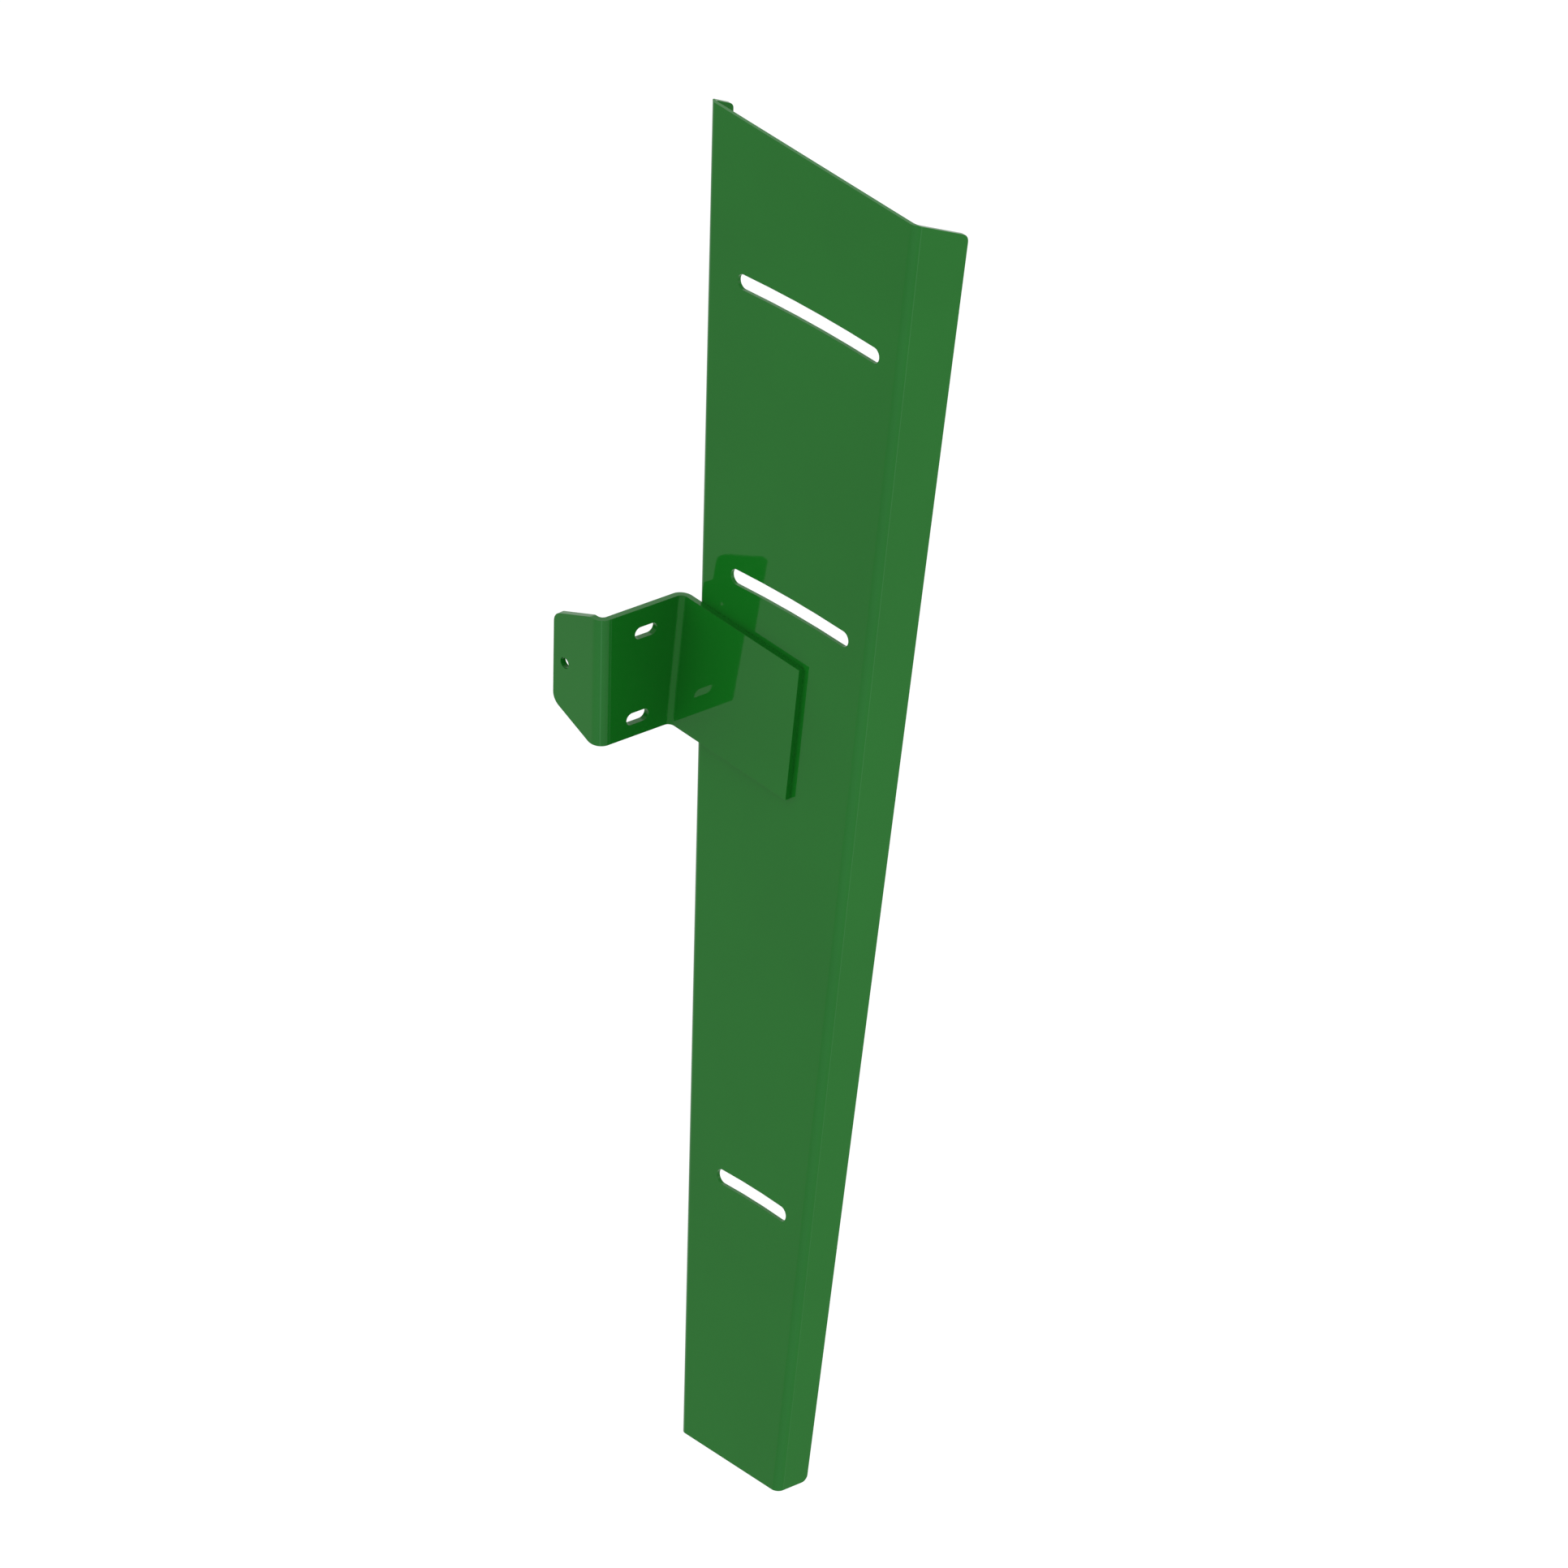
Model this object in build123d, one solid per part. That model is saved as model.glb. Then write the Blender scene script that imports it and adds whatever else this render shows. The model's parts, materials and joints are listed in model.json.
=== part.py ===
from build123d import *
import math
import os

# A slotted channel post with an offset bracket: two folded steel sheets and the welds that join them.
# Frame: X to the right, Y from front to back, Z up. The origin is on the bracket's mating face, the left
# face of its web, midway between its two slots. Lengths are millimetres and angles are degrees.

# Sheets and bends
PANEL_SHEET = 2.5
PANEL_INSIDE_BEND = 2.5
BRACKET_SHEET = 4.0
BRACKET_INSIDE_BEND = 4.0

# The fan: the panel's slots are arcs about one apex, and its sides run along the two rays that the slots end on
FAN_APEX_X = 140.4
FAN_APEX_Z = -839.7
FAN_HALF_ANGLE = 2.98
FAN_TOP_RADIUS = 1211.0
FAN_BOTTOM_RADIUS = 323.5
SLOT_RADII = (1115.0, 922.5, 517.0)
PANEL_SLOT_WIDTH = 10.1
LEFT_MARGIN = 34.0
RIGHT_MARGIN = 23.6

# Panel flanges, measured back from the panel's front face
PANEL_FRONT_Y = 31.0
LEFT_FLANGE_DEPTH = 17.2
RIGHT_FLANGE_DEPTH_TOP = 44.4
RIGHT_FLANGE_DEPTH_BOTTOM = 24.5
FLANGE_TOP_SLOPE = 23.4
FLANGE_SLOPE_START = 2.6
LEFT_TOP_CORNER = 4.0
RIGHT_TOP_CORNER = 6.7
BOTTOM_CORNER = 4.3

# Bracket
BRACKET_BOTTOM_Z = -42.9
BRACKET_TOP_Z = 47.2
LEG_RIGHT_X = 110.7
WEB_SLOT_WIDTH = 8.2
WEB_SLOT_LENGTH = 17.5
WEB_SLOT_PITCH = 60.0
TAB_LEAN = 5.45
TAB_FRONT_Y = -32.9
TAB_OUTER_X = -39.7
TAB_TAPER = 22.75
TAB_TAPER_START = 2.0
TAB_SHOULDER = 5.0
TAB_CORNER = 8.4
TAB_HOLE_DIAMETER = 7.5
TAB_HOLE_TO_EDGE = 10.4

# Welds
FILLET_LEG = 3.0
FILLET_BULGE = 0.35
FILLET_STITCH_LENGTH = 26.0
FILLET_STITCH_STARTS_X = (36.0, 78.0)
GROOVE_STITCH_LENGTH = 24.0
GROOVE_STITCH_STARTS_Z = (-34.0, 14.0)
GROOVE_ROOT_ANGLE = 20.0
GROOVE_TOE_ANGLE = 69.0

# Worked out from the driving dimensions
OUTSIDE_BEND = PANEL_INSIDE_BEND + PANEL_SHEET
BRACKET_OUTSIDE_BEND = BRACKET_INSIDE_BEND + BRACKET_SHEET
PANEL_BACK_Y = PANEL_FRONT_Y + PANEL_SHEET
PANEL_TOP_Z = FAN_APEX_Z + FAN_TOP_RADIUS
PANEL_RIGHT_X = FAN_APEX_X + RIGHT_MARGIN
LEFT_LEAN = 2 * FAN_HALF_ANGLE
WASTE = 60.0

FAN_APEX = Vector(FAN_APEX_X, PANEL_FRONT_Y, FAN_APEX_Z)
CENTRE_RAY = Vector(-math.sin(math.radians(FAN_HALF_ANGLE)), 0, math.cos(math.radians(FAN_HALF_ANGLE)))
LEFT_RAY = Vector(-math.sin(math.radians(LEFT_LEAN)), 0, math.cos(math.radians(LEFT_LEAN)))
LEFT_OUTWARD = Vector(-LEFT_RAY.Z, 0, LEFT_RAY.X)


def push_back(outline, front_y, depth):
    """Solid from an outline drawn as seen from the front, x to the right and y up, pushed back from front_y."""
    plane = Plane(origin=(0, front_y, 0), x_dir=(1, 0, 0), z_dir=(0, -1, 0))
    return extrude(plane * outline, amount=depth, dir=(0, 1, 0))


def push_right(outline, left_x, width):
    """Solid from an outline drawn as seen from the right, x to the back and y up, pushed right from left_x."""
    plane = Plane(origin=(left_x, 0, 0), x_dir=(0, 1, 0), z_dir=(1, 0, 0))
    return extrude(plane * outline, amount=width, dir=(1, 0, 0))


def folded_edge_section(depth):
    """Bend and flange of one side: x runs outward from the bend's start, y runs back from the front face."""
    middle = math.sqrt(0.5)
    with BuildSketch() as section:
        with BuildLine():
            ThreePointArc(
                (0, 0),
                (OUTSIDE_BEND * middle, OUTSIDE_BEND * (1 - middle)),
                (OUTSIDE_BEND, OUTSIDE_BEND),
            )
            Polyline(
                (OUTSIDE_BEND, OUTSIDE_BEND),
                (OUTSIDE_BEND, depth),
                (OUTSIDE_BEND - PANEL_SHEET, depth),
                (OUTSIDE_BEND - PANEL_SHEET, OUTSIDE_BEND),
            )
            ThreePointArc(
                (OUTSIDE_BEND - PANEL_SHEET, OUTSIDE_BEND),
                (PANEL_INSIDE_BEND * middle, OUTSIDE_BEND - PANEL_INSIDE_BEND * middle),
                (0, PANEL_SHEET),
            )
            Line((0, PANEL_SHEET), (0, 0))
        make_face()
    return section.sketch


def long_side(outward, ray, margin, depth):
    """One side of the channel, longer than the panel at both ends: bend and flange along a ray."""
    bend_start = FAN_APEX + outward * (margin - OUTSIDE_BEND) + ray * (FAN_BOTTOM_RADIUS - WASTE)
    plane = Plane(origin=bend_start, x_dir=outward, z_dir=outward.cross(Vector(0, 1, 0)))
    length = FAN_TOP_RADIUS - FAN_BOTTOM_RADIUS + 2 * WASTE
    return extrude(plane * folded_edge_section(depth), amount=length, dir=ray)


def long_face():
    """The flat front of the panel between its two bends, longer than the panel at both ends."""
    low = FAN_BOTTOM_RADIUS - WASTE
    high = FAN_TOP_RADIUS + WASTE
    left = FAN_APEX + LEFT_OUTWARD * (LEFT_MARGIN - OUTSIDE_BEND)
    right = FAN_APEX + Vector(RIGHT_MARGIN - OUTSIDE_BEND, 0, 0)
    corners = [left + LEFT_RAY * low, right + Vector(0, 0, low), right + Vector(0, 0, high), left + LEFT_RAY * high]
    outline = Polygon(*[(corner.X, corner.Z) for corner in corners], align=None)
    return push_back(outline, PANEL_FRONT_Y, PANEL_SHEET)


def above_top():
    """What the shears take off the top: level across the front, then sloping down the flanges."""
    front = PANEL_FRONT_Y + FLANGE_SLOPE_START
    rear = PANEL_FRONT_Y + RIGHT_FLANGE_DEPTH_TOP + WASTE
    drop = (rear - front) * math.tan(math.radians(FLANGE_TOP_SLOPE))
    high = PANEL_TOP_Z + 2 * WASTE
    outline = Polygon(
        (PANEL_FRONT_Y - WASTE, PANEL_TOP_Z),
        (front, PANEL_TOP_Z),
        (rear, PANEL_TOP_Z - drop),
        (rear, high),
        (PANEL_FRONT_Y - WASTE, high),
        align=None,
    )
    return push_right(outline, PANEL_RIGHT_X - 5 * WASTE, 6 * WASTE)


def below_bottom():
    """What the shears take off the bottom: a cut square to the fan's centre line."""
    middle = FAN_APEX + CENTRE_RAY * FAN_BOTTOM_RADIUS
    across = Vector(CENTRE_RAY.Z, 0, -CENTRE_RAY.X)
    reach = 4 * WASTE
    ends = [middle - across * reach, middle + across * reach]
    corners = ends + [end - CENTRE_RAY * reach for end in reversed(ends)]
    outline = Polygon(*[(corner.X, corner.Z) for corner in corners], align=None)
    return push_back(outline, PANEL_FRONT_Y - WASTE, 4 * WASTE)


def behind_right_flange():
    """What is cut off behind the right flange, which is deeper at its top than at its bottom."""
    bottom_z = FAN_APEX_Z + FAN_BOTTOM_RADIUS
    taper = (RIGHT_FLANGE_DEPTH_TOP - RIGHT_FLANGE_DEPTH_BOTTOM) / (PANEL_TOP_Z - bottom_z)
    low_y = PANEL_FRONT_Y + RIGHT_FLANGE_DEPTH_BOTTOM - taper * 2 * WASTE
    high_y = PANEL_FRONT_Y + RIGHT_FLANGE_DEPTH_TOP + taper * 2 * WASTE
    outline = Polygon(
        (low_y, bottom_z - 2 * WASTE),
        (high_y, PANEL_TOP_Z + 2 * WASTE),
        (high_y + WASTE, PANEL_TOP_Z + 2 * WASTE),
        (high_y + WASTE, bottom_z - 2 * WASTE),
        align=None,
    )
    return push_right(outline, PANEL_RIGHT_X - OUTSIDE_BEND, 2 * OUTSIDE_BEND)


def curved_slot(radius):
    """Cutter for one slot: an arc about the apex from the right ray to the left ray, with round ends."""
    arc = CenterArc((FAN_APEX_X, FAN_APEX_Z), radius, 90, LEFT_LEAN)
    slot = SlotArc(arc, PANEL_SLOT_WIDTH)
    return push_back(slot, PANEL_FRONT_Y - PANEL_SHEET, 3 * PANEL_SHEET)


def rear_corner(panel, x_side, z_side):
    """The short edge at the back of one flange: x_side and z_side are 1 or -1 for right or left, top or bottom."""
    across_sheet = [
        edge
        for edge in panel.edges().filter_by(GeomType.LINE)
        if abs(edge.length - PANEL_SHEET) < 0.1 * PANEL_SHEET and edge.center().Y > PANEL_BACK_Y + OUTSIDE_BEND
    ]
    middle_x = FAN_APEX_X - RIGHT_MARGIN
    on_side = [edge for edge in across_sheet if (edge.center().X - middle_x) * x_side > 0]
    on_end = [edge for edge in on_side if edge.center().Z * z_side > 0]
    return max(on_end, key=lambda edge: edge.center().Y)


def make_panel():
    """The tapered channel: front face, two bends, two flanges and three curved slots, from one sheet."""
    left_side = long_side(LEFT_OUTWARD, LEFT_RAY, LEFT_MARGIN, LEFT_FLANGE_DEPTH)
    right_depth = RIGHT_FLANGE_DEPTH_TOP + OUTSIDE_BEND
    right_side = long_side(Vector(1, 0, 0), Vector(0, 0, 1), RIGHT_MARGIN, right_depth)
    panel = long_face() + left_side + right_side
    for waste in (behind_right_flange(), above_top(), below_bottom()):
        panel -= waste
    panel = panel.clean().solid()
    for x_side, z_side, radius in (
        (-1, 1, LEFT_TOP_CORNER),
        (-1, -1, BOTTOM_CORNER),
        (1, 1, RIGHT_TOP_CORNER),
        (1, -1, BOTTOM_CORNER),
    ):
        panel = fillet(rear_corner(panel, x_side, z_side), radius).solid()
    for radius in SLOT_RADII:
        panel -= curved_slot(radius)
    return panel.solid()


def bend_axis_y(z):
    """Depth of the outer bend's axis at a height: the tab leans forward, so the axis does too."""
    lean = math.radians(TAB_LEAN)
    return TAB_FRONT_Y + BRACKET_OUTSIDE_BEND / math.cos(lean) - z * math.tan(lean)


def tab_frame():
    """Axis of the outer bend at mid height: x is X, y is square to the tab and points back, z is the bend's axis."""
    lean = math.radians(TAB_LEAN)
    middle_z = (BRACKET_BOTTOM_Z + BRACKET_TOP_Z) / 2
    origin = (BRACKET_SHEET - BRACKET_OUTSIDE_BEND, bend_axis_y(middle_z), middle_z)
    return Plane(origin=origin, x_dir=(1, 0, 0), z_dir=(0, -math.sin(lean), math.cos(lean)))


def quarter_bend(start_angle):
    """Section of a right-angle bend in the bracket's sheet, centred on the bend's axis."""
    outer = CenterArc((0, 0), BRACKET_OUTSIDE_BEND, start_angle, 90)
    inner = CenterArc((0, 0), BRACKET_INSIDE_BEND, start_angle, 90)
    return make_face([outer, Line(outer @ 1, inner @ 1), inner, Line(inner @ 0, outer @ 0)])


def make_leg_and_inner_bend():
    """The leg that lies on the panel, and the bend that turns it forward into the web."""
    height = BRACKET_TOP_Z - BRACKET_BOTTOM_Z
    leg_front_y = PANEL_FRONT_Y - BRACKET_SHEET
    leg = Box(
        LEG_RIGHT_X - BRACKET_OUTSIDE_BEND,
        BRACKET_SHEET,
        height,
        align=(Align.MIN, Align.MIN, Align.MIN),
    )
    leg = Pos(BRACKET_OUTSIDE_BEND, leg_front_y, BRACKET_BOTTOM_Z) * leg
    bend_centre = Pos(BRACKET_OUTSIDE_BEND, leg_front_y - BRACKET_INSIDE_BEND, BRACKET_BOTTOM_Z)
    return leg + bend_centre * extrude(quarter_bend(90), amount=height)


def make_web():
    """The web between the two bends, narrower at its bottom, with its two slots."""
    back_y = PANEL_FRONT_Y - BRACKET_OUTSIDE_BEND
    outline = Polygon(
        (back_y, BRACKET_BOTTOM_Z),
        (back_y, BRACKET_TOP_Z),
        (bend_axis_y(BRACKET_TOP_Z), BRACKET_TOP_Z),
        (bend_axis_y(BRACKET_BOTTOM_Z), BRACKET_BOTTOM_Z),
        align=None,
    )
    for side in (-1, 1):
        outline -= Pos(0, side * WEB_SLOT_PITCH / 2) * SlotOverall(WEB_SLOT_LENGTH, WEB_SLOT_WIDTH)
    return push_right(outline, 0, BRACKET_SHEET)


def make_tab_and_outer_bend():
    """The bend at the front of the web, and the tapered tab with its hole."""
    frame = tab_frame()
    half_height = (BRACKET_TOP_Z - BRACKET_BOTTOM_Z) / 2 / math.cos(math.radians(TAB_LEAN))
    bend_section = frame * Pos(0, 0, -half_height) * quarter_bend(-90)
    bend = extrude(bend_section, amount=2 * half_height, dir=frame.z_dir)
    outer_x = TAB_OUTER_X - frame.origin.X
    taper_x = -TAB_TAPER_START
    end_height = half_height - (taper_x - outer_x) * math.tan(math.radians(TAB_TAPER))
    upper_half = [(0, half_height), (taper_x, half_height), (outer_x, end_height)]
    lower_half = [(x, -height) for x, height in reversed(upper_half)]
    outline = Polygon(*upper_half, *lower_half, align=None)
    outline = fillet(outline.vertices().sort_by(Axis.X)[:2], TAB_CORNER)
    shoulders = [corner for corner in outline.vertices() if abs(corner.X - taper_x) < 0.1 * TAB_TAPER_START]
    outline = fillet(shoulders, TAB_SHOULDER)
    outline -= Pos(outer_x + TAB_HOLE_TO_EDGE, 0) * Circle(TAB_HOLE_DIAMETER / 2)
    front_origin = frame.origin - frame.y_dir * BRACKET_OUTSIDE_BEND
    front_face = Plane(origin=front_origin, x_dir=(1, 0, 0), z_dir=-frame.y_dir)
    return bend + extrude(front_face * outline, amount=BRACKET_SHEET, dir=frame.y_dir)


def make_bracket():
    """The offset bracket: leg, web and tab from one sheet."""
    bracket = make_leg_and_inner_bend() + make_web() + make_tab_and_outer_bend()
    return bracket.clean().solid()


def make_fillet_welds():
    """Two stitches under the leg's lower edge: one bead section, run along the edge."""
    root = (PANEL_FRONT_Y, BRACKET_BOTTOM_Z)
    on_leg = (PANEL_FRONT_Y - FILLET_LEG, BRACKET_BOTTOM_Z)
    on_panel = (PANEL_FRONT_Y, BRACKET_BOTTOM_Z - FILLET_LEG)
    crown = FILLET_LEG / 2 + FILLET_BULGE
    with BuildSketch() as section:
        with BuildLine():
            Line(root, on_leg)
            ThreePointArc(on_leg, (PANEL_FRONT_Y - crown, BRACKET_BOTTOM_Z - crown), on_panel)
            Line(on_panel, root)
        make_face()
    stitches = []
    for start in FILLET_STITCH_STARTS_X:
        stitches.append(push_right(section.sketch, start, FILLET_STITCH_LENGTH).solid())
    return stitches


def groove_weld_section():
    """Section of a groove stitch: x runs outward along the leg's back face, y runs forward, bend at the rear."""

    def on_bend(angle):
        turn = math.radians(angle)
        return OUTSIDE_BEND * math.sin(turn), OUTSIDE_BEND * (math.cos(turn) - 1)

    root = on_bend(GROOVE_ROOT_ANGLE)
    toe = on_bend(GROOVE_TOE_ANGLE)
    middle = on_bend((GROOVE_ROOT_ANGLE + GROOVE_TOE_ANGLE) / 2)
    with BuildSketch() as section:
        with BuildLine():
            Polyline(root, (root[0], 0), (OUTSIDE_BEND, 0), toe)
            ThreePointArc(toe, middle, root)
        make_face()
    return section.sketch


def make_groove_welds():
    """Two stitches in the valley between the leg's back face and the panel's left bend."""
    valley = FAN_APEX + LEFT_OUTWARD * (LEFT_MARGIN - OUTSIDE_BEND)
    stitches = []
    for start in GROOVE_STITCH_STARTS_Z:
        origin = valley + LEFT_RAY * ((start - FAN_APEX_Z) / LEFT_RAY.Z)
        plane = Plane(origin=origin, x_dir=LEFT_OUTWARD, z_dir=LEFT_RAY)
        stitches.append(extrude(plane * groove_weld_section(), amount=GROOVE_STITCH_LENGTH).solid())
    return stitches


def main():
    """Make every piece and write one file for each node."""
    nodes = {
        "channel_panel": make_panel(),
        "offset_bracket": make_bracket(),
        "leg_fillet_welds": Compound(make_fillet_welds()),
        "leg_groove_welds": Compound(make_groove_welds()),
    }
    os.makedirs("parts", exist_ok=True)
    for name, shape in nodes.items():
        export_step(shape, f"parts/{name}.step")


main()
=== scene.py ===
import json
import math
import random
from collections import namedtuple

import bmesh
import bpy
from mathutils import Matrix, Vector

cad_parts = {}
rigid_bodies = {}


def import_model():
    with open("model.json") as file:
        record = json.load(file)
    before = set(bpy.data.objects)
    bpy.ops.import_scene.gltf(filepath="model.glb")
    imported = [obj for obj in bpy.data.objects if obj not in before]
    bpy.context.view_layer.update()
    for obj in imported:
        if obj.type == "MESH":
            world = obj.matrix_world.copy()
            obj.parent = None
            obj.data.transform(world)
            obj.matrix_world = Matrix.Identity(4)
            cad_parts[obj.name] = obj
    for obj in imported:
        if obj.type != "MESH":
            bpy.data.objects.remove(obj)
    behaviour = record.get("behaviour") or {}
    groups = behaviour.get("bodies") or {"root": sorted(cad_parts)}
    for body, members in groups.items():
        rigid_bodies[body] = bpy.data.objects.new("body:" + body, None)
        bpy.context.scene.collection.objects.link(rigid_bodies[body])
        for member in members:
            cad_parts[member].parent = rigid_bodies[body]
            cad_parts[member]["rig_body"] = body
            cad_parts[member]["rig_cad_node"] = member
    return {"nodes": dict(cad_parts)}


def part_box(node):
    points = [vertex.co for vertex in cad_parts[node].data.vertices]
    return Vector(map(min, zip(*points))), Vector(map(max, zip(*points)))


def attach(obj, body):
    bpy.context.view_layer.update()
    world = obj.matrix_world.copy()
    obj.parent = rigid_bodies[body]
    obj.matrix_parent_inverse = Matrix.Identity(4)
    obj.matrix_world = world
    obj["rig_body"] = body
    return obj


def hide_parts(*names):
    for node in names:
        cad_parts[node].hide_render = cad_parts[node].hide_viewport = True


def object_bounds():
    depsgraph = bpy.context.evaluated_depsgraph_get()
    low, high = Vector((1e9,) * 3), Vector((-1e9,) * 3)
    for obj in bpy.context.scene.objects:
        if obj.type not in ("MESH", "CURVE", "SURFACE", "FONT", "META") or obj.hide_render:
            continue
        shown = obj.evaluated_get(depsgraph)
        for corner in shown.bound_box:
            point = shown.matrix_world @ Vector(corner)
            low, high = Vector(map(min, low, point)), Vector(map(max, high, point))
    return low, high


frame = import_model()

bl_info = {
    "name": "Slotted Channel Post",
    "version": (1, 0, 0),
    "blender": (4, 5, 0),
    "location": "3D View > Sidebar > Channel Post",
    "description": "Finishes a folded channel post, its offset bracket and its welds, and sets up a studio",
    "category": "Object",
}

# The frame, in metres: X to the right, Y from front to back, Z up. The origin is on the left face of the
# bracket's web, midway between its two slots.
MM = 0.001
BODY = "root"
CAD_LOW, CAD_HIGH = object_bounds()
PANEL_LOW, PANEL_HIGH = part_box("channel_panel")

RIGHT = Vector((1, 0, 0))
BACK = Vector((0, 1, 0))
UP = Vector((0, 0, 1))

# How near points lie that are merged, or that count as on a cut, on a bend's surface line or on its arc
MERGE_DISTANCE = 0.002 * MM
ON_CUT = 0.001 * MM
ON_LINE = 0.02 * MM
ON_ARC = 0.1 * MM

# Faces nearer to one plane than the first angle become one face, and edges beyond the second stay sharp
PLANAR_ANGLE = math.radians(1.0)
SHARP_ANGLE = math.radians(32.0)
SOFT_EDGE_SEGMENTS = 3
FLAT_FACE_WEIGHT = 90

# Balls that a weld stitch is fused from, and how its skin is smoothed
BALL_SEGMENTS = 24
BALL_RINGS = 14
BEAD_SMOOTH_FACTOR = 0.5
BEAD_SMOOTH_ROUNDS = 4
BEAD_SHADE_ANGLE = math.radians(60)
FEWEST_RIPPLES = 2
FILLET_SEED = 3
GROOVE_SEED = 5

# Material slots of a folded sheet besides its plain coat, which carry painted highlight lines along its
# bends, and the mask of painted light that lifts the shade on the outside of its bends
CROWN_HIGHLIGHT_SLOT, TANGENT_HIGHLIGHT_SLOT = 1, 2
BEND_LIGHT_MASK = "painted_bend_light"

# Noise in the coat: waves to the metre, and detail; noise values between the two limits are spread out
CLOUD_SCALE, CLOUD_DETAIL = 9.0, 3.0
HAZE_SCALE, HAZE_DETAIL = 45.0, 4.0
PEEL_DETAIL, PEEL_ROUGHNESS = 1.5, 0.4
NOISE_LOW, NOISE_HIGH = 0.3, 0.7
HAZE_LEAST, HAZE_MOST = 0.8, 1.2

# Stage: sizes in metres; a soft box's offset is from the part's middle
FLOOR_SIZE = 60.0
FLOOR_ROUGHNESS = 0.9
FLOOR_GLOSS = 0.1
RIGHT_BOX_OFFSET, RIGHT_BOX_SIZE = Vector((2.4, 1.5, 0.8)), 1.6
RIM_BOX_OFFSET, RIM_BOX_SIZE = Vector((-2.4, 2.3, 2.0)), 1.8
SENSOR_WIDTH = 36.0
VIEW_REACH = 100.0

# A bend in a sheet: a point on its axis, the axis, the way its first and last surface lines look, its radius
Bend = namedtuple("Bend", "centre axis front side radius")


def length(name, millimetres, description):
    """A length setting, stated in millimetres and kept in metres."""
    return bpy.props.FloatProperty(
        name=name, description=description, default=millimetres * MM, unit="LENGTH", precision=5
    )


def angle(name, degrees, description):
    """An angle setting, stated in degrees."""
    return bpy.props.FloatProperty(
        name=name, description=description, default=math.radians(degrees), subtype="ANGLE"
    )


def number(name, value, description, **limits):
    """A plain number setting."""
    return bpy.props.FloatProperty(name=name, description=description, default=value, **limits)


def share(name, value, description):
    """A setting from 0 to 1."""
    return number(name, value, description, min=0.0, max=1.0, subtype="FACTOR")


def colour(name, red, green, blue, description):
    """A linear colour setting."""
    return bpy.props.FloatVectorProperty(
        name=name,
        description=description,
        subtype="COLOR",
        size=3,
        default=(red, green, blue),
        min=0.0,
        max=1.0,
    )


# Settings that a user would change

class FoldSettings(bpy.types.PropertyGroup):
    """Where the sheets are folded, and where the painted highlight lines run on the bends."""

    apex_x: length("Fan apex X", 140.4, "Where both sides of the panel point to, to the right of the origin")
    apex_z: length("Fan apex Z", -839.7, "Where both sides of the panel point to, above the origin")
    panel_lean: angle("Panel lean", 5.96, "Lean of the panel's left side; its right side is upright")
    panel_margin: length("Panel margin", 34.0, "From the apex's left ray to the outside of the left flange")
    panel_bend: length("Panel bend", 5.0, "Outside radius of the panel's bends")
    bracket_sheet: length("Bracket sheet", 4.0, "Thickness of the bracket")
    bracket_bend: length("Bracket bend", 8.0, "Outside radius of the bracket's bends")
    bracket_bottom: length("Bracket bottom", -42.9, "Height of the leg's lower edge above the origin")
    tab_front: length("Tab front", -32.9, "Depth of the tab's front at the height of the origin")
    tab_lean: angle("Tab lean", 5.45, "How far the top of the tab leans forward")
    # The next two settings place and size the narrow bevelled strips that carry a painted highlight on the
    # bends.
    crown_turn: angle("Crown turn", 45.0, "Where round the tab's bend its rubbed crown lies")
    line_width: length("Line width", 0.6, "Width of the line that the press rubs on a bend")
    edge_radius: length("Edge radius", 0.15, "Radius of the deburred and coated sheet edges")


class WeldSettings(bpy.types.PropertyGroup):
    """Sizes of the weld stitches."""

    pitch: length("Ripple pitch", 1.7, "Distance from one ripple of a stitch to the next")
    reach: length("Ripple reach", 2.0, "Half the length of one ripple along its stitch")
    unevenness: share("Unevenness", 0.05, "How much the ripples differ in size")
    fillet_radius: length("Fillet radius", 3.2, "Radius of the ripples under the leg")
    fillet_depth: length("Fillet depth", 0.6, "How deep the middle of a fillet stitch lies in both sheets")
    fillet_length: length("Fillet length", 26.0, "Length of each stitch under the leg")
    first_fillet: length("First fillet", 36.0, "Start of the left stitch under the leg, from the origin")
    second_fillet: length("Second fillet", 78.0, "Start of the right stitch under the leg, from the origin")
    groove_radius: length("Groove radius", 1.75, "Radius of the ripples behind the leg")
    groove_out: length("Groove out", 3.2, "From the panel's flat face out to the middle of a groove stitch")
    groove_depth: length("Groove depth", 1.5, "From the leg's back to the middle of a groove stitch")
    groove_length: length("Groove length", 24.0, "Length of each stitch behind the leg")
    first_groove: length("First groove", -34.0, "Start of the lower stitch behind the leg, above the origin")
    second_groove: length("Second groove", 14.0, "Start of the upper stitch behind the leg, above the origin")
    grain: length("Grain", 0.2, "Size of the cells that a stitch is meshed with")


class CoatSettings(bpy.types.PropertyGroup):
    """The green powder coat that covers every piece."""

    coat: colour("Coat colour", 0.0056, 0.130, 0.0098, "Base colour of the powder coat")
    # The next four settings paint light: the lighter colour is a painted highlight on the narrow bend strips,
    # and a painted lift of the shade on the outside of the bends.
    highlighted: colour("Rubbed colour", 0.032, 0.172, 0.044, "Base colour where the press rubbed a bend")
    crown_highlight: share("Crown rub", 1.0, "How far the line on a bend's crown turns to the rubbed colour")
    tangent_highlight: share("Tangent rub", 0.5, "How far the line along a bend's end turns to the rubbed colour")
    bend_light_share: share("Stretch rub", 0.38, "How far the outside of a bend turns to the rubbed colour")
    colour_change: share("Colour change", 0.04, "How much lighter or darker the coat is from place to place")
    roughness: share("Roughness", 0.04, "Middle roughness of the glossy coat")
    gloss: share("Gloss", 0.138, "Specular level of the coat")
    peel_size: length("Orange peel size", 3.2, "Distance from one orange peel wave to the next")
    peel_height: length("Orange peel height", 0.003, "Height of the orange peel waves")


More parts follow.
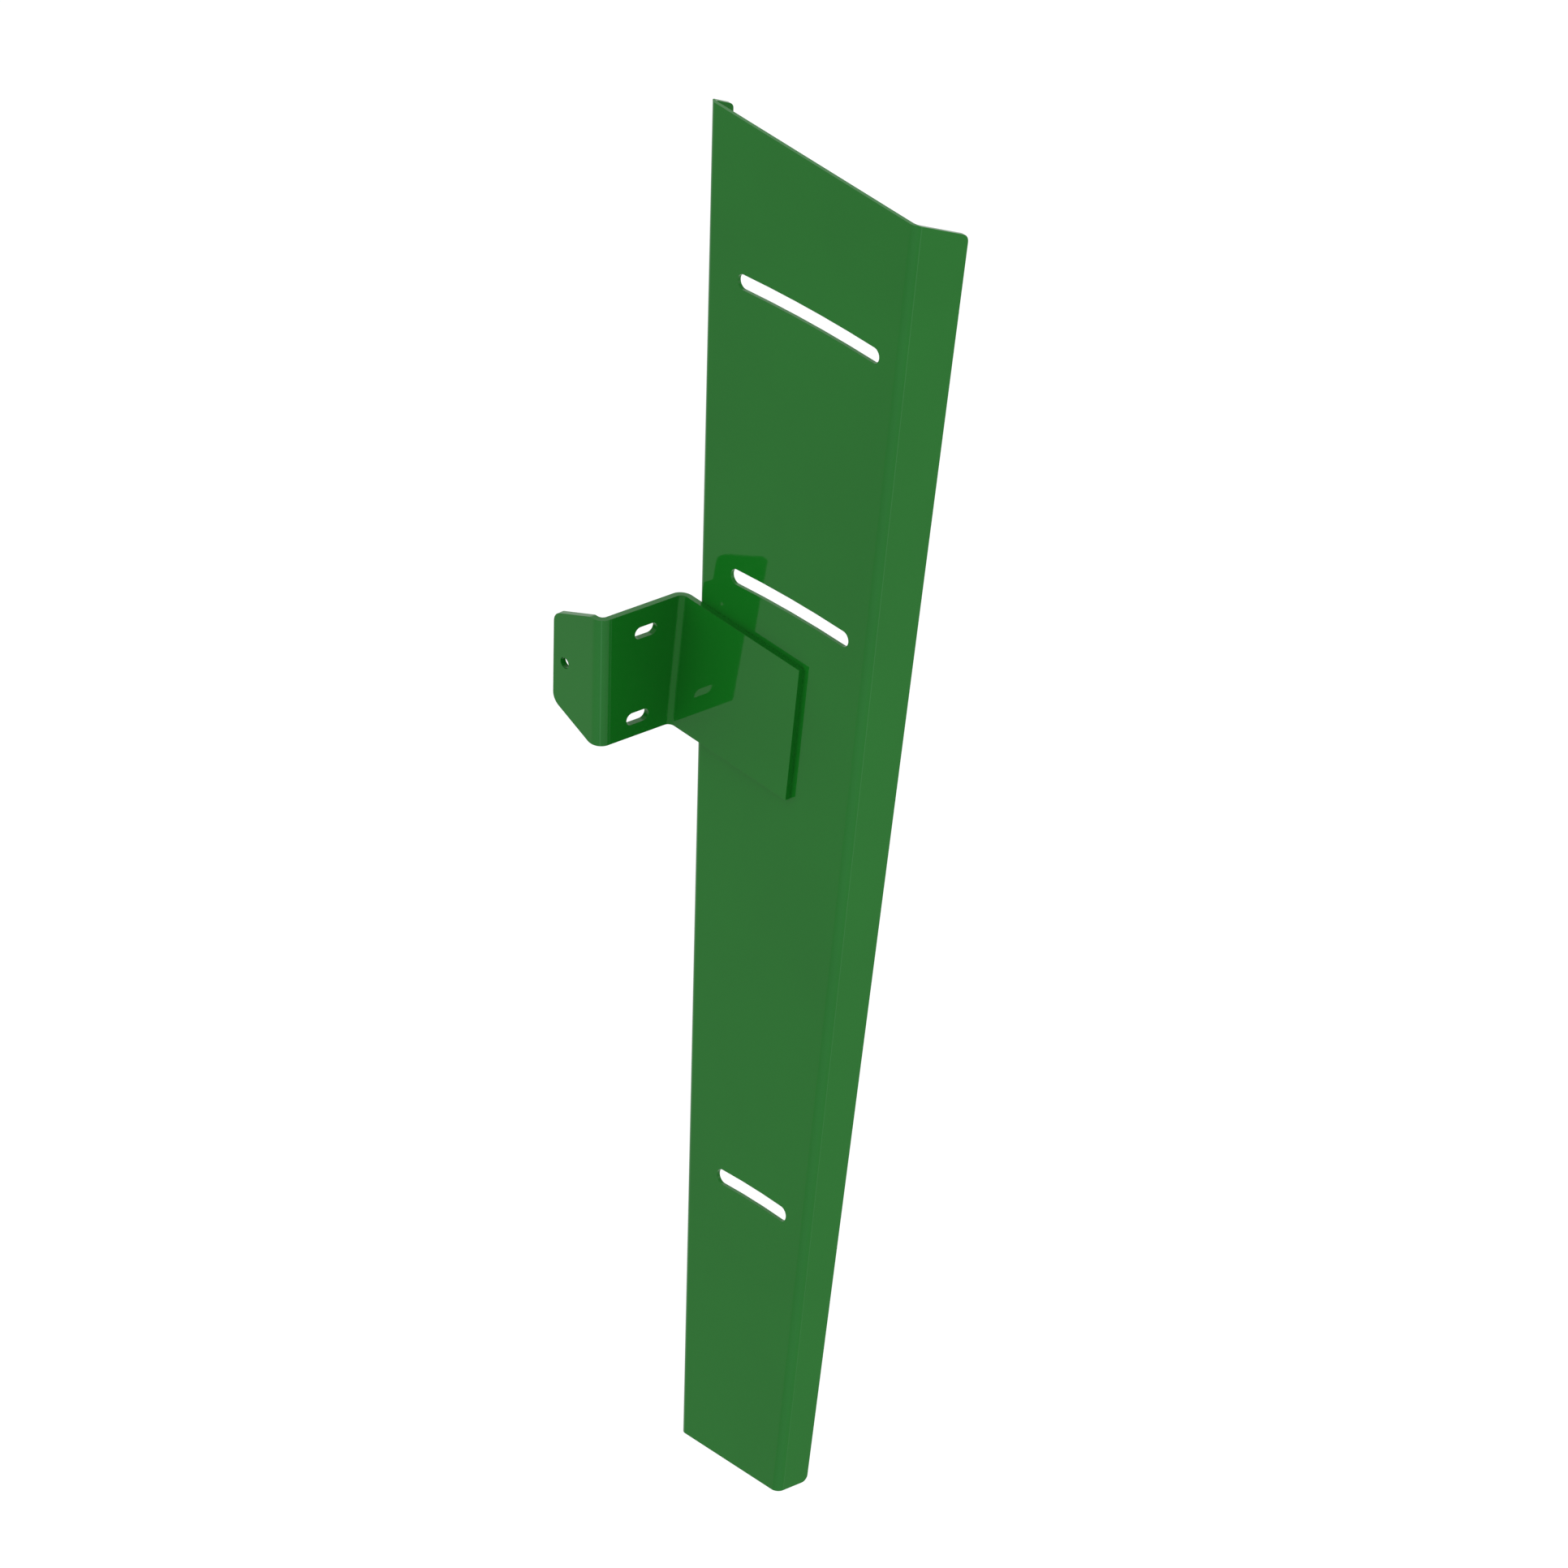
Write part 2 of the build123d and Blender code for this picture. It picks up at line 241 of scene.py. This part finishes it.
class StudioSettings(bpy.types.PropertyGroup):
    """Floor, light and camera."""

    floor_drop: length("Floor drop", 550.0, "Height of the held part's lowest point above the floor")
    floor_colour: colour("Floor colour", 0.93, 0.93, 0.93, "Colour of the plain pale floor")
    sky_strength: number("Sky strength", 1.08, "Strength of the even white light all round", min=0.0)
    right_power: number("Right power", 10.0, "Watts of the soft box behind the right side", min=0.0)
    rim_power: number("Rim power", 6.0, "Watts of the soft box high behind the left side", min=0.0)
    aim_x: length("Aim X", 104.0, "Middle of the view, to the right of the origin")
    aim_y: length("Aim Y", 31.0, "Middle of the view, behind the origin")
    aim_z: length("Aim Z", -36.2, "Middle of the view, above the origin")
    distance: length("Camera distance", 7740.3, "Distance from the camera to the middle of the view")
    azimuth: angle("Camera azimuth", 45.82, "Turn of the camera from straight in front towards the right")
    elevation: angle("Camera elevation", 30.545, "Angle that the camera looks down at")
    roll: angle("Camera roll", 6.082, "Tilt of the camera about its line of sight")
    lens: number("Camera lens", 296.74, "Focal length in millimetres on a 36 mm sensor", min=1.0)


# Modelling helpers

def deselect_all():
    """Nothing selected and no active object."""
    bpy.ops.object.select_all(action="DESELECT")
    bpy.context.view_layer.objects.active = None


def select_only(*pieces):
    """Only these pieces selected, and the first one active."""
    deselect_all()
    for piece in pieces:
        piece.select_set(True)
    bpy.context.view_layer.objects.active = pieces[0]


def enter_edit(piece):
    """Edit mode on this piece, with nothing selected."""
    select_only(piece)
    bpy.ops.object.mode_set(mode="EDIT")
    bpy.ops.mesh.select_all(action="DESELECT")


def leave_edit():
    """Back to object mode."""
    bpy.ops.object.mode_set(mode="OBJECT")


def select_edges(piece, test):
    """In edit mode, selects the edges whose two ends both pass the test."""
    bpy.ops.mesh.select_all(action="DESELECT")
    bpy.ops.mesh.select_mode(type="EDGE")
    mesh = bmesh.from_edit_mesh(piece.data)
    for edge in mesh.edges:
        edge.select_set(all(test(vertex.co) for vertex in edge.verts))
    bmesh.update_edit_mesh(piece.data)


def apply_modifier(piece, kind, **settings):
    """Adds a modifier with these settings and applies it."""
    select_only(piece)
    modifier = piece.modifiers.new(kind.lower(), kind)
    for name, value in settings.items():
        setattr(modifier, name, value)
    bpy.ops.object.modifier_apply(modifier=modifier.name)


def copy_of_node(node, name):
    """A new object with its own copy of a CAD node's mesh, merged into one skin with wide flat faces."""
    select_only(frame["nodes"][node])
    bpy.ops.object.duplicate()
    piece = bpy.context.view_layer.objects.active
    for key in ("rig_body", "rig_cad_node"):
        del piece[key]
    piece.name = name
    piece.data.name = name
    bpy.ops.object.parent_clear(type="CLEAR_KEEP_TRANSFORM")
    enter_edit(piece)
    bpy.ops.mesh.select_all(action="SELECT")
    bpy.ops.mesh.remove_doubles(threshold=MERGE_DISTANCE)
    bpy.ops.mesh.customdata_custom_splitnormals_clear()
    bpy.ops.mesh.dissolve_limited(angle_limit=PLANAR_ANGLE)
    leave_edit()
    return piece


def coat_piece(piece, *materials):
    """Gives a piece its materials, in the order of its slots."""
    piece.data.materials.clear()
    for material in materials:
        piece.data.materials.append(material)


def coat_sheet(piece, name, coat):
    """Coats a folded sheet: plain, with a painted highlight on the crown of a bend, and with a painted
    highlight along a bend's end.
    """
    coat_piece(
        piece,
        coat_material(name + " coat"),
        coat_material(name + " crown highlight", coat.crown_highlight),
        coat_material(name + " tangent highlight", coat.tangent_highlight),
    )


def add_highlight_strip(piece, bend, turn, width, slot):
    """Bevels a narrow strip along a bend and gives it the slot that paints a highlight line there: turn says
    where round the bend it runs.
    """
    on_line = bend.centre + (bend.front * math.cos(turn) + bend.side * math.sin(turn)) * bend.radius
    enter_edit(piece)
    select_edges(piece, lambda point: (point - on_line).cross(bend.axis).length < ON_LINE)
    bpy.ops.mesh.bevel(
        offset=width / 2, offset_type="OFFSET", segments=1, affect="EDGES", material=slot
    )
    leave_edit()


def mark_bend_light(piece, *bends):
    """Keeps a mask of painted light on the outside of each bend, which lifts its shade: none at its ends,
    most at its crown.
    """
    mask = piece.data.attributes.new(BEND_LIGHT_MASK, "FLOAT", "POINT")
    for place, vertex in enumerate(piece.data.vertices):
        for bend in bends:
            spoke = vertex.co - bend.centre
            spoke -= bend.axis * spoke.dot(bend.axis)
            ahead, aside = spoke.dot(bend.front), spoke.dot(bend.side)
            if abs(spoke.length - bend.radius) < ON_ARC and min(ahead, aside) > 0:
                mask.data[place].value = 2 * ahead * aside / spoke.length_squared


def soften_edges(piece, radius):
    """Rounds the cut edges as deburring and paint do, then shades flat faces flat and bends smooth."""
    apply_modifier(
        piece,
        "BEVEL",
        width=radius,
        segments=SOFT_EDGE_SEGMENTS,
        limit_method="ANGLE",
        angle_limit=SHARP_ANGLE,
        miter_outer="MITER_ARC",
    )
    select_only(piece)
    bpy.ops.object.shade_smooth_by_angle(angle=SHARP_ANGLE)
    apply_modifier(piece, "WEIGHTED_NORMAL", mode="FACE_AREA", weight=FLAT_FACE_WEIGHT, keep_sharp=True)


def finish_piece(piece, node):
    """Attaches a piece to the body it rides on, and hides the CAD node that it stands for."""
    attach(piece, BODY)
    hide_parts(node)
    deselect_all()


# Bends

def left_ray(folds):
    """Direction of the panel's leaning left side, upwards."""
    return Matrix.Rotation(-folds.panel_lean, 3, "Y") @ UP


def left_outward(folds):
    """Direction square to the panel's left side, away from the panel."""
    return Matrix.Rotation(-folds.panel_lean, 3, "Y") @ -RIGHT


def left_bend(folds):
    """The bend between the panel's face and its left flange."""
    outward = left_outward(folds)
    apex = Vector((folds.apex_x, PANEL_LOW.y + folds.panel_bend, folds.apex_z))
    centre = apex + outward * (folds.panel_margin - folds.panel_bend)
    return Bend(centre, left_ray(folds), -BACK, outward, folds.panel_bend)


def right_bend(folds):
    """The bend between the panel's face and its right flange."""
    centre = Vector((PANEL_HIGH.x - folds.panel_bend, PANEL_LOW.y + folds.panel_bend, 0))
    return Bend(centre, UP, -BACK, RIGHT, folds.panel_bend)


def tab_bend(folds):
    """The bend between the bracket's web and its leaning tab."""
    sine, cosine = math.sin(folds.tab_lean), math.cos(folds.tab_lean)
    centre = Vector((
        folds.bracket_sheet - folds.bracket_bend,
        folds.tab_front + folds.bracket_bend / cosine,
        0,
    ))
    return Bend(centre, Vector((0, -sine, cosine)), Vector((0, -cosine, -sine)), RIGHT, folds.bracket_bend)


# Weld stitches

def weld_stitch(start, along, stitch_length, radius, welds, sizes):
    """One rippled bead: flattened balls in a row that overlap, fused into one skin."""
    count = max(FEWEST_RIPPLES, round((stitch_length - 2 * welds.reach) / welds.pitch))
    step = (stitch_length - 2 * welds.reach) / count
    turn = along.to_track_quat("X", "Z").to_euler()
    ripples = []
    for place in range(count + 1):
        deselect_all()
        bpy.ops.mesh.primitive_uv_sphere_add(
            segments=BALL_SEGMENTS,
            ring_count=BALL_RINGS,
            radius=1.0,
            location=start + along * (welds.reach + place * step),
            rotation=turn,
        )
        ripple = bpy.context.view_layer.objects.active
        size = radius * (1.0 - sizes.random() * welds.unevenness)
        ripple.scale = (welds.reach, size, size)
        ripples.append(ripple)
    select_only(*ripples)
    bpy.ops.object.join()
    bpy.ops.object.transform_apply(location=True, rotation=True, scale=True)
    stitch = bpy.context.view_layer.objects.active
    apply_modifier(stitch, "REMESH", mode="VOXEL", voxel_size=welds.grain)
    apply_modifier(stitch, "SMOOTH", factor=BEAD_SMOOTH_FACTOR, iterations=BEAD_SMOOTH_ROUNDS)
    return stitch


def cut_flush(piece, point, outward):
    """Cuts a piece off at a plane and closes it there."""
    enter_edit(piece)
    bpy.ops.mesh.select_all(action="SELECT")
    bpy.ops.mesh.bisect(
        plane_co=tuple(point),
        plane_no=tuple(outward),
        use_fill=True,
        clear_outer=True,
        threshold=ON_CUT,
    )
    leave_edit()


def join_stitches(name, stitches):
    """Makes the stitches one smooth piece."""
    select_only(*stitches)
    bpy.ops.object.join()
    bpy.ops.object.shade_smooth_by_angle(angle=BEAD_SHADE_ANGLE)
    piece = bpy.context.view_layer.objects.active
    piece.name = name
    piece.data.name = name
    return piece


# Materials

def add_noise(tree, place, detail):
    """Noise node that reads the piece's Object coordinates."""
    noise = tree.nodes.new("ShaderNodeTexNoise")
    noise.inputs["Detail"].default_value = detail
    tree.links.new(place.outputs["Object"], noise.inputs["Vector"])
    return noise


def add_spread(tree, noise, least, most):
    """Spreads the middle of a noise over the values from least to most."""
    spread = tree.nodes.new("ShaderNodeMapRange")
    spread.inputs["From Min"].default_value = NOISE_LOW
    spread.inputs["From Max"].default_value = NOISE_HIGH
    spread.inputs["To Min"].default_value = least
    spread.inputs["To Max"].default_value = most
    tree.links.new(noise.outputs["Fac"], spread.inputs["Value"])
    return spread.outputs["Result"]


def add_coat_sockets(group):
    """What the powder coat group takes in and puts out."""
    new_socket = group.interface.new_socket
    new_socket("Colour", in_out="INPUT", socket_type="NodeSocketColor")
    for name in ("Colour Change", "Roughness", "Peel Scale"):
        new_socket(name, in_out="INPUT", socket_type="NodeSocketFloat")
    new_socket("Colour", in_out="OUTPUT", socket_type="NodeSocketColor")
    for name in ("Roughness", "Height"):
        new_socket(name, in_out="OUTPUT", socket_type="NodeSocketFloat")


def powder_coat_group():
    """Shader node group: colour, roughness and surface height of a powder coat, from Object coordinates."""
    name = "powder coat surface"
    if name in bpy.data.node_groups:
        return bpy.data.node_groups[name]
    group = bpy.data.node_groups.new(name, "ShaderNodeTree")
    add_coat_sockets(group)
    nodes, links = group.nodes, group.links
    entry = nodes.new("NodeGroupInput")
    leave = nodes.new("NodeGroupOutput")
    place = nodes.new("ShaderNodeTexCoord")

    cloud = add_noise(group, place, CLOUD_DETAIL)
    cloud.inputs["Scale"].default_value = CLOUD_SCALE
    amount = nodes.new("ShaderNodeMath")
    amount.operation = "MULTIPLY_ADD"
    amount.inputs[2].default_value = 1.0
    links.new(add_spread(group, cloud, -1.0, 1.0), amount.inputs[0])
    links.new(entry.outputs["Colour Change"], amount.inputs[1])
    tint = nodes.new("ShaderNodeVectorMath")
    tint.operation = "SCALE"
    links.new(entry.outputs["Colour"], tint.inputs[0])
    links.new(amount.outputs["Value"], tint.inputs["Scale"])
    links.new(tint.outputs["Vector"], leave.inputs["Colour"])

    haze = add_noise(group, place, HAZE_DETAIL)
    haze.inputs["Scale"].default_value = HAZE_SCALE
    roughness = nodes.new("ShaderNodeMath")
    roughness.operation = "MULTIPLY"
    links.new(entry.outputs["Roughness"], roughness.inputs[0])
    links.new(add_spread(group, haze, HAZE_LEAST, HAZE_MOST), roughness.inputs[1])
    links.new(roughness.outputs["Value"], leave.inputs["Roughness"])

    peel = add_noise(group, place, PEEL_DETAIL)
    peel.inputs["Roughness"].default_value = PEEL_ROUGHNESS
    links.new(entry.outputs["Peel Scale"], peel.inputs["Scale"])
    links.new(peel.outputs["Fac"], leave.inputs["Height"])
    return group


def add_highlight_colour(tree, highlight_share):
    """The coat's colour, painted lighter as highlight: by the mask of painted light on the outside of bends,
    and by the given highlight share, from 0 to 1.
    """
    coat = bpy.context.scene.post_coat
    # Painted light: a mask that lightens the outside of the bends, where they would shade darker.
    light_mask = tree.nodes.new("ShaderNodeAttribute")
    light_mask.attribute_name = BEND_LIGHT_MASK
    amount = tree.nodes.new("ShaderNodeMath")
    amount.operation = "MULTIPLY_ADD"
    amount.inputs[1].default_value = coat.bend_light_share
    amount.inputs[2].default_value = highlight_share
    amount.use_clamp = True
    tint = tree.nodes.new("ShaderNodeMix")
    tint.data_type = "RGBA"
    tint.inputs["A"].default_value = (*coat.coat, 1.0)
    tint.inputs["B"].default_value = (*coat.highlighted, 1.0)
    tree.links.new(light_mask.outputs["Fac"], amount.inputs[0])
    tree.links.new(amount.outputs["Value"], tint.inputs["Factor"])
    return tint.outputs["Result"]


def coat_material(name, highlight_share=0.0):
    """Glossy green powder coat with orange peel, painted lighter on the outside of bends and on narrow bend
    strips as painted highlight.
    """
    coat = bpy.context.scene.post_coat
    material = bpy.data.materials.new(name)
    material.use_nodes = True
    tree = material.node_tree
    nodes, links = tree.nodes, tree.links
    shader = nodes["Principled BSDF"]
    shader.inputs["Specular IOR Level"].default_value = coat.gloss
    surface = nodes.new("ShaderNodeGroup")
    surface.node_tree = powder_coat_group()
    surface.inputs["Colour Change"].default_value = coat.colour_change
    surface.inputs["Roughness"].default_value = coat.roughness
    surface.inputs["Peel Scale"].default_value = 1.0 / coat.peel_size
    bump = nodes.new("ShaderNodeBump")
    bump.inputs["Distance"].default_value = coat.peel_height
    links.new(add_highlight_colour(tree, highlight_share), surface.inputs["Colour"])
    links.new(surface.outputs["Colour"], shader.inputs["Base Color"])
    links.new(surface.outputs["Roughness"], shader.inputs["Roughness"])
    links.new(surface.outputs["Height"], bump.inputs["Height"])
    links.new(bump.outputs["Normal"], shader.inputs["Normal"])
    return material


# Studio

def add_floor(studio):
    """Level floor below the held part."""
    deselect_all()
    bpy.ops.mesh.primitive_plane_add(size=FLOOR_SIZE, location=(0, 0, CAD_LOW.z - studio.floor_drop))
    floor = bpy.context.view_layer.objects.active
    floor.name = "studio_floor"
    material = bpy.data.materials.new("pale floor")
    material.use_nodes = True
    shader = material.node_tree.nodes["Principled BSDF"]
    shader.inputs["Base Color"].default_value = (*studio.floor_colour, 1.0)
    shader.inputs["Roughness"].default_value = FLOOR_ROUGHNESS
    shader.inputs["Specular IOR Level"].default_value = FLOOR_GLOSS
    floor.data.materials.append(material)


def add_sky(scene, studio):
    """Even white light from all round."""
    sky = bpy.data.worlds.new("even sky")
    sky.use_nodes = True
    background = sky.node_tree.nodes["Background"]
    background.inputs["Color"].default_value = (1.0, 1.0, 1.0, 1.0)
    background.inputs["Strength"].default_value = studio.sky_strength
    scene.world = sky


def add_soft_box(name, aim, offset, size, power):
    """Square area light that faces the part."""
    data = bpy.data.lights.new(name, "AREA")
    data.shape = "SQUARE"
    data.size = size
    data.energy = power
    light = bpy.data.objects.new(name, data)
    light.location = aim + offset
    light.rotation_euler = (-offset).to_track_quat("-Z", "Y").to_euler()
    light.visible_camera = False
    bpy.context.scene.collection.objects.link(light)


def add_camera(scene, studio):
    """Long lens that looks down on the post from its front right."""
    level_reach = math.cos(studio.elevation)
    back = Vector((
        math.sin(studio.azimuth) * level_reach,
        -math.cos(studio.azimuth) * level_reach,
        math.sin(studio.elevation),
    ))
    data = bpy.data.cameras.new("camera")
    data.lens = studio.lens
    data.sensor_width = SENSOR_WIDTH
    data.clip_end = VIEW_REACH
    camera = bpy.data.objects.new("camera", data)
    camera.rotation_mode = "QUATERNION"
    level = (-back).to_track_quat("-Z", "Y")
    camera.rotation_quaternion = level @ Matrix.Rotation(studio.roll, 4, "Z").to_quaternion()
    camera.location = Vector((studio.aim_x, studio.aim_y, studio.aim_z)) + back * studio.distance
    scene.collection.objects.link(camera)
    scene.camera = camera


# Operators

class POST_OT_channel_panel(bpy.types.Operator):
    """Makes the folded channel panel with its painted highlight lines, the painted light on its bends and
    softened edges
    """

    bl_idname = "post.channel_panel"
    bl_label = "Channel Panel"

    def execute(self, context):
        folds = context.scene.post_folds
        panel = copy_of_node("channel_panel", "channel_panel_coated")
        bends = (left_bend(folds), right_bend(folds))
        coat_sheet(panel, "panel", context.scene.post_coat)
        for bend in bends:
            add_highlight_strip(panel, bend, math.pi / 2, folds.line_width, TANGENT_HIGHLIGHT_SLOT)
        soften_edges(panel, folds.edge_radius)
        mark_bend_light(panel, *bends)
        finish_piece(panel, "channel_panel")
        return {"FINISHED"}


class POST_OT_offset_bracket(bpy.types.Operator):
    """Makes the folded offset bracket with its painted highlight lines, the painted light on its bend and
    softened edges
    """

    bl_idname = "post.offset_bracket"
    bl_label = "Offset Bracket"

    def execute(self, context):
        folds = context.scene.post_folds
        bracket = copy_of_node("offset_bracket", "offset_bracket_coated")
        bend = tab_bend(folds)
        coat_sheet(bracket, "bracket", context.scene.post_coat)
        add_highlight_strip(bracket, bend, folds.crown_turn, folds.line_width, CROWN_HIGHLIGHT_SLOT)
        add_highlight_strip(bracket, bend, math.pi / 2, folds.line_width, TANGENT_HIGHLIGHT_SLOT)
        soften_edges(bracket, folds.edge_radius)
        mark_bend_light(bracket, bend)
        finish_piece(bracket, "offset_bracket")
        return {"FINISHED"}


class POST_OT_fillet_welds(bpy.types.Operator):
    """Makes the two rippled stitches under the bracket's leg"""

    bl_idname = "post.fillet_welds"
    bl_label = "Fillet Welds"

    def execute(self, context):
        folds, welds = context.scene.post_folds, context.scene.post_welds
        sizes = random.Random(FILLET_SEED)
        stitches = []
        for x in (welds.first_fillet, welds.second_fillet):
            corner = Vector((x, PANEL_LOW.y, folds.bracket_bottom))
            start = corner + (BACK + UP) * welds.fillet_depth
            stitch = weld_stitch(start, RIGHT, welds.fillet_length, welds.fillet_radius, welds, sizes)
            cut_flush(stitch, corner, BACK)
            cut_flush(stitch, corner, UP)
            stitches.append(stitch)
        piece = join_stitches("leg_fillet_weld_beads", stitches)
        coat_piece(piece, coat_material("fillet weld coat"))
        finish_piece(piece, "leg_fillet_welds")
        return {"FINISHED"}


class POST_OT_groove_welds(bpy.types.Operator):
    """Makes the two rippled stitches between the bracket's leg and the panel's left bend"""

    bl_idname = "post.groove_welds"
    bl_label = "Groove Welds"

    def execute(self, context):
        folds, welds = context.scene.post_folds, context.scene.post_welds
        sizes = random.Random(GROOVE_SEED)
        ray, outward = left_ray(folds), left_outward(folds)
        apex = Vector((folds.apex_x, PANEL_LOW.y, folds.apex_z))
        valley = apex + outward * (folds.panel_margin - folds.panel_bend)
        middle = valley + outward * welds.groove_out + BACK * welds.groove_depth
        stitches = []
        for z in (welds.first_groove, welds.second_groove):
            start = middle + ray * ((z - folds.apex_z) / ray.z)
            stitch = weld_stitch(start, ray, welds.groove_length, welds.groove_radius, welds, sizes)
            cut_flush(stitch, valley, -BACK)
            stitches.append(stitch)
        piece = join_stitches("leg_groove_weld_beads", stitches)
        coat_piece(piece, coat_material("groove weld coat"))
        finish_piece(piece, "leg_groove_welds")
        return {"FINISHED"}


class POST_OT_studio(bpy.types.Operator):
    """Adds the pale floor, the soft lights and the camera"""

    bl_idname = "post.studio"
    bl_label = "Studio"

    def execute(self, context):
        studio = context.scene.post_studio
        middle = (CAD_LOW + CAD_HIGH) / 2
        add_floor(studio)
        add_sky(context.scene, studio)
        add_soft_box("right soft box", middle, RIGHT_BOX_OFFSET, RIGHT_BOX_SIZE, studio.right_power)
        add_soft_box("rim soft box", middle, RIM_BOX_OFFSET, RIM_BOX_SIZE, studio.rim_power)
        add_camera(context.scene, studio)
        context.scene.view_settings.view_transform = "Standard"
        return {"FINISHED"}


class POST_PT_sidebar(bpy.types.Panel):
    """Buttons and settings for the channel post"""

    bl_idname = "POST_PT_sidebar"
    bl_label = "Channel Post"
    bl_space_type = "VIEW_3D"
    bl_region_type = "UI"
    bl_category = "Channel Post"

    def draw(self, context):
        layout = self.layout
        for operator in OPERATORS:
            layout.operator(operator.bl_idname)
        for name in SETTINGS:
            settings = getattr(context.scene, name)
            box = layout.box()
            for setting in settings.__annotations__:
                box.prop(settings, setting)


OPERATORS = (
    POST_OT_channel_panel,
    POST_OT_offset_bracket,
    POST_OT_fillet_welds,
    POST_OT_groove_welds,
    POST_OT_studio,
)
SETTINGS = {
    "post_folds": FoldSettings,
    "post_welds": WeldSettings,
    "post_coat": CoatSettings,
    "post_studio": StudioSettings,
}
CLASSES = (*SETTINGS.values(), *OPERATORS, POST_PT_sidebar)


def register():
    """Registers the classes, and adds the settings to the scene."""
    for cls in CLASSES:
        bpy.utils.register_class(cls)
    for name, settings in SETTINGS.items():
        setattr(bpy.types.Scene, name, bpy.props.PointerProperty(type=settings))


def unregister():
    """Removes the settings from the scene, and unregisters the classes."""
    for name in SETTINGS:
        delattr(bpy.types.Scene, name)
    for cls in reversed(CLASSES):
        bpy.utils.unregister_class(cls)


def main():
    register()
    bpy.ops.post.channel_panel()
    bpy.ops.post.offset_bracket()
    bpy.ops.post.fillet_welds()
    bpy.ops.post.groove_welds()
    bpy.ops.post.studio()


if __name__ == "__main__":
    main()
